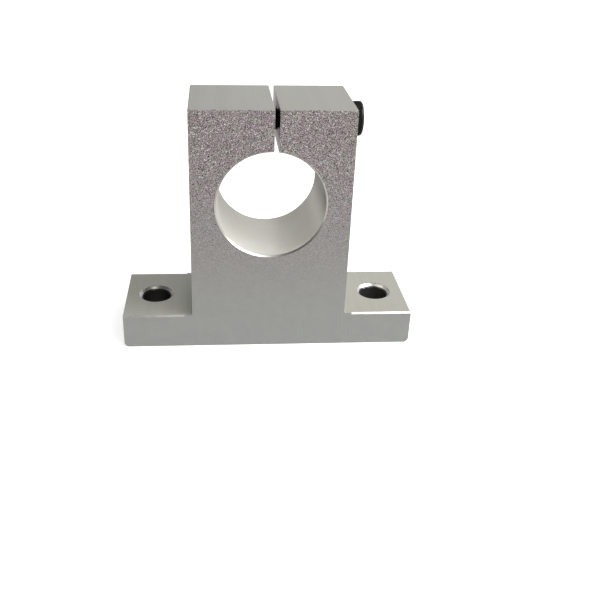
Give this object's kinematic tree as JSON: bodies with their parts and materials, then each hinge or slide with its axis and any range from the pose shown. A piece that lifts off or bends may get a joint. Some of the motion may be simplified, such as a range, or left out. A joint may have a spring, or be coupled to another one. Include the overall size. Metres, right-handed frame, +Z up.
{
  "type": "shaft support block",
  "caption": "Upright aluminium block on a bolt-down base that clamps a round shaft in a slit bore, closed by a socket head screw.",
  "frame": {"origin": "middle of the underside of the base, on the middle plane of the shaft bore", "axes": "+X along the base towards the screw head, +Y along the shaft, +Z up"},
  "size_m": [0.114, 0.036, 0.096],
  "materials": {
    "block": "clear anodised aluminium, matt blasted front and back, smooth top, sides and bore",
    "clamp_screw": "black oxide steel, satin"
  },
  "bodies": {
    "block": {"block": "block"},
    "clamp_screw": {"clamp_screw": "clamp_screw"}
  },
  "joints": [
    {"name": "clamp_screw_turn", "type": "hinge", "parent": "block", "child": "clamp_screw", "pos_m": [0.0265, 0, 0.088], "axis": [1, 0, 0], "range_deg": [0, 450]}
  ]
}
